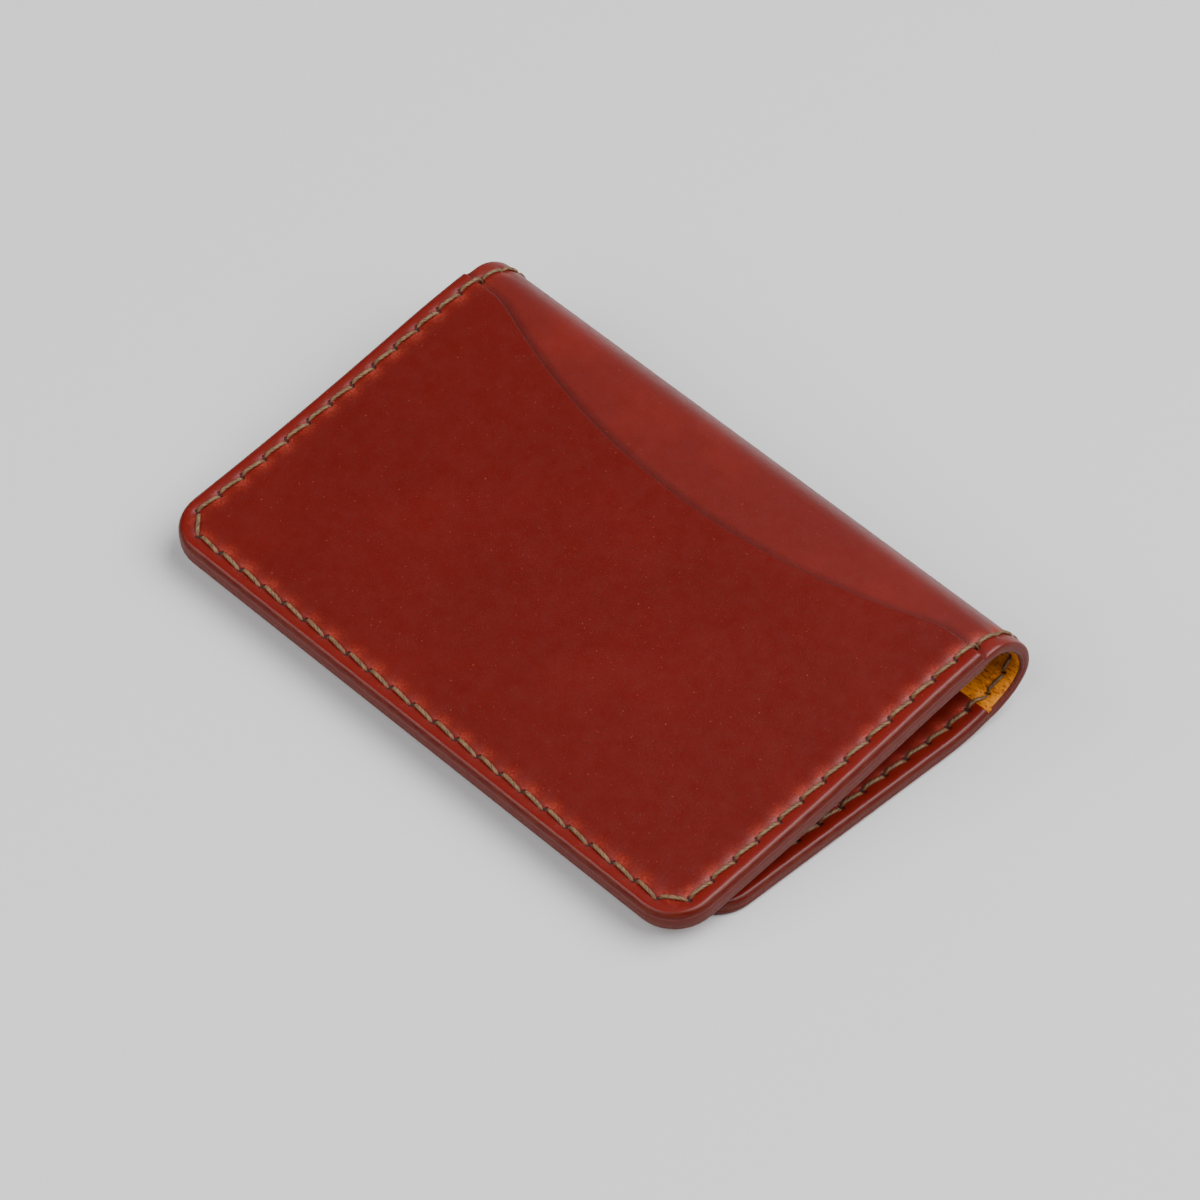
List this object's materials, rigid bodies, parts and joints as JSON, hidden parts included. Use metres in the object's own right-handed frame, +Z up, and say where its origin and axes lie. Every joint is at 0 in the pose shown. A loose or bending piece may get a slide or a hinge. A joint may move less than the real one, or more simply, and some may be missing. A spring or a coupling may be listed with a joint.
{
  "type": "card holder",
  "caption": "Folded leather card holder, saddle stitched round the edge, with a curved-mouth pocket outside and a straight pocket inside each cover.",
  "frame": {"origin": "centre of the closed holder's footprint, on the surface it lies on", "axes": "+X along the fold, +Y towards the fold, +Z up through the covers"},
  "size_m": [0.1, 0.0684, 0.0165],
  "materials": {
    "shell_leather": "polished, waxed smooth leather",
    "pocket_leather": "polished, waxed smooth leather, darker",
    "lining": "matt, pebbled ochre leather",
    "thread": "waxed linen thread"
  },
  "bodies": {
    "back_cover": {"outer_shell_back": "shell_leather", "lining_back": "lining", "inner_pocket_back": "pocket_leather", "thread_back": "thread"},
    "spine_1": {"outer_shell_spine_1": "shell_leather", "lining_spine_1": "lining", "thread_spine_1": "thread", "inner_pocket_back_lip": "pocket_leather"},
    "spine_2": {"outer_shell_spine_2": "shell_leather", "lining_spine_2": "lining", "thread_spine_2": "thread"},
    "spine_3": {"outer_shell_spine_3": "shell_leather", "lining_spine_3": "lining", "thread_spine_3": "thread"},
    "spine_4": {"outer_shell_spine_4": "shell_leather", "lining_spine_4": "lining", "thread_spine_4": "thread"},
    "spine_5": {"outer_shell_spine_5": "shell_leather", "lining_spine_5": "lining", "thread_spine_5": "thread"},
    "spine_6": {"outer_shell_spine_6": "shell_leather", "lining_spine_6": "lining", "thread_spine_6": "thread"},
    "front_cover": {"outer_shell_front": "shell_leather", "lining_front": "lining", "outer_pocket_front": "pocket_leather", "inner_pocket_front": "pocket_leather", "thread_front": "thread"}
  },
  "joints": [
    {"name": "fold_1", "type": "hinge", "parent": "back_cover", "child": "spine_1", "pos_m": [0, 0.01889, 0], "axis": [-1, 0, 0], "range_deg": [0, 13]},
    {"name": "fold_2", "type": "hinge", "parent": "spine_1", "child": "spine_2", "pos_m": [0, 0.03029, 0.00263], "axis": [-1, 0, 0], "range_deg": [0, 29.36]},
    {"name": "fold_3", "type": "hinge", "parent": "spine_2", "child": "spine_3", "pos_m": [0, 0.0337, 0.00574], "axis": [-1, 0, 0], "range_deg": [0, 32.72]},
    {"name": "fold_4", "type": "hinge", "parent": "spine_3", "child": "spine_4", "pos_m": [0, 0.03422, 0.0077], "axis": [-1, 0, 0], "range_deg": [0, 32.72]},
    {"name": "fold_5", "type": "hinge", "parent": "spine_4", "child": "spine_5", "pos_m": [0, 0.03295, 0.01167], "axis": [-1, 0, 0], "range_deg": [0, 32.72]},
    {"name": "fold_6", "type": "hinge", "parent": "spine_5", "child": "spine_6", "pos_m": [0, 0.02851, 0.01533], "axis": [-1, 0, 0], "range_deg": [0, 32.72]},
    {"name": "fold_open", "type": "hinge", "parent": "spine_6", "child": "front_cover", "pos_m": [0, 0.02611, 0.01561], "axis": [-1, 0, 0], "range_deg": [0, 16.36]}
  ],
  "couplings": [
    {"joint": "fold_1", "follows": "fold_open", "ratio": 0.79462},
    {"joint": "fold_2", "follows": "fold_open", "ratio": 1.7946},
    {"joint": "fold_3", "follows": "fold_open", "ratio": 2},
    {"joint": "fold_4", "follows": "fold_open", "ratio": 2},
    {"joint": "fold_5", "follows": "fold_open", "ratio": 2},
    {"joint": "fold_6", "follows": "fold_open", "ratio": 2}
  ]
}
